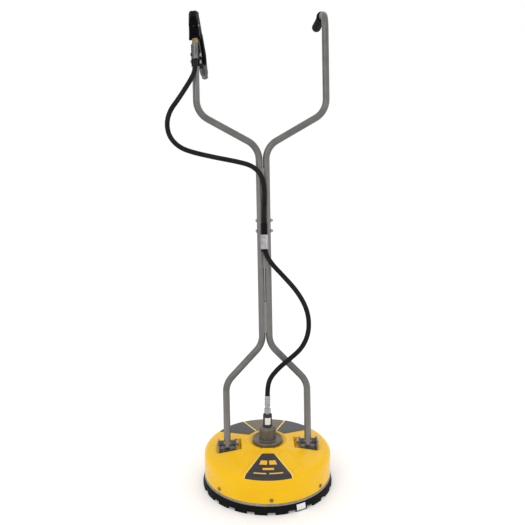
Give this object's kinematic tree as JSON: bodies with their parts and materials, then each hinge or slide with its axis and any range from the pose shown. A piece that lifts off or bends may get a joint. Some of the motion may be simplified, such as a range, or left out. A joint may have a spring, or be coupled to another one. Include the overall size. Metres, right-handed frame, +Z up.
{
  "type": "rotary surface cleaner",
  "caption": "Round walk-behind rotary surface cleaner with a spray arm under a domed deck, a tilting dual-tube handle, a side grip and a trigger gun feeding a high-pressure hose.",
  "frame": {"origin": "on the floor, on the axis of the rotary swivel", "axes": "+Z up along the swivel axis; the front panel faces -Y and the handle leans towards the operator at +Y; +X is the side of the plain grip"},
  "size_m": [0.5288, 0.8037, 1.4589],
  "materials": {
    "yellow_shell": "semi-gloss moulded",
    "black_panel": "fine textured",
    "rubber": "matt",
    "grey_tube": "satin powder coat",
    "dark_metal": "satin",
    "steel": "zinc plated",
    "rim_metal": "satin",
    "brass": "machined",
    "black_plastic": "fine textured",
    "grey_plastic": "satin",
    "white_label": "paper",
    "bronze": "sintered"
  },
  "bodies": {
    "deck": {"deck_shell": "yellow_shell", "rim_band": "rim_metal", "skirt": "rubber", "skirt_fasteners": "steel", "front_panel": "black_panel", "back_side_panels": "black_panel", "back_panel_centre": "black_panel", "swivel_housing": "dark_metal", "flange_gasket": "rubber", "flange_bolts": "steel", "bearing_outer_races": "steel", "pressure_seal": "rubber", "dust_seal": "rubber", "inlet_collar": "black_plastic", "collar_label": "white_label", "inlet_stem": "steel", "hose_nut_lower": "steel", "ferrule_lower": "steel", "bracket_left": "dark_metal", "bracket_right": "dark_metal", "pivot_fasteners": "steel", "pivot_spacers": "dark_metal", "bracket_fasteners": "steel", "backing_plates": "steel"},
    "rotor": {"rotor_shaft": "steel", "rotor_hub": "brass", "spray_arms": "steel", "spray_nozzles": "brass", "arm_lock_nuts": "steel", "bearing_inner_races": "steel"},
    "handle": {"lower_tube_left": "grey_tube", "lower_tube_right": "grey_tube", "upper_tube_left": "grey_tube", "upper_tube_right": "grey_tube", "splice_sleeves": "steel", "splice_fasteners": "steel", "weld_fillers": "grey_tube", "pivot_bushes": "bronze", "handle_grip": "rubber", "hose_clip": "steel", "hose_sleeve": "rubber", "hose_upper": "rubber", "hose_lower": "rubber", "ferrule_upper": "steel", "outlet_elbow": "brass", "gun_cradle": "black_plastic", "cradle_bolts": "steel", "gun_housing_left": "black_plastic", "gun_housing_right": "black_plastic", "gun_housing_screws": "steel", "trigger_guard": "black_plastic", "trigger_pivot_pin": "steel", "valve_block": "brass", "supply_pipe": "steel", "inlet_boot": "grey_plastic", "inlet_connector": "steel"},
    "trigger": {"trigger": "grey_plastic"},
    "latch": {"safety_latch": "grey_plastic"},
    "valve": {"valve_pin": "brass"}
  },
  "joints": [
    {"name": "handle_tilt", "type": "hinge", "parent": "deck", "child": "handle", "pos_m": [0, -0.01, 0.148], "axis": [-1, 0, 0], "range_deg": [-17, 43], "deforming": ["hose_lower"]},
    {"name": "rotor_spin", "type": "hinge", "parent": "deck", "child": "rotor", "pos_m": [0, 0, 0.084], "axis": [0, 0, 1], "continuous": true},
    {"name": "trigger_pull", "type": "hinge", "parent": "handle", "child": "trigger", "pos_m": [-0.20454, 0.40251, 1.40565], "axis": [0.9925, -0.0515, 0.1105], "range_deg": [0, 12.5], "stiffness_Nm_per_rad": 1.5, "springref_deg": -20.05},
    {"name": "latch_flip", "type": "hinge", "parent": "trigger", "child": "latch", "pos_m": [-0.201, 0.42989, 1.32329], "axis": [-0.9925, 0.0515, -0.1105], "range_deg": [0, 80]},
    {"name": "valve_stroke", "type": "slide", "parent": "handle", "child": "valve", "axis": [0, -0.9063, -0.4226], "range_m": [0, 0.0024]}
  ],
  "couplings": [
    {"joint": "valve_stroke", "follows": "trigger_pull", "m_per_rad": 0.01}
  ]
}
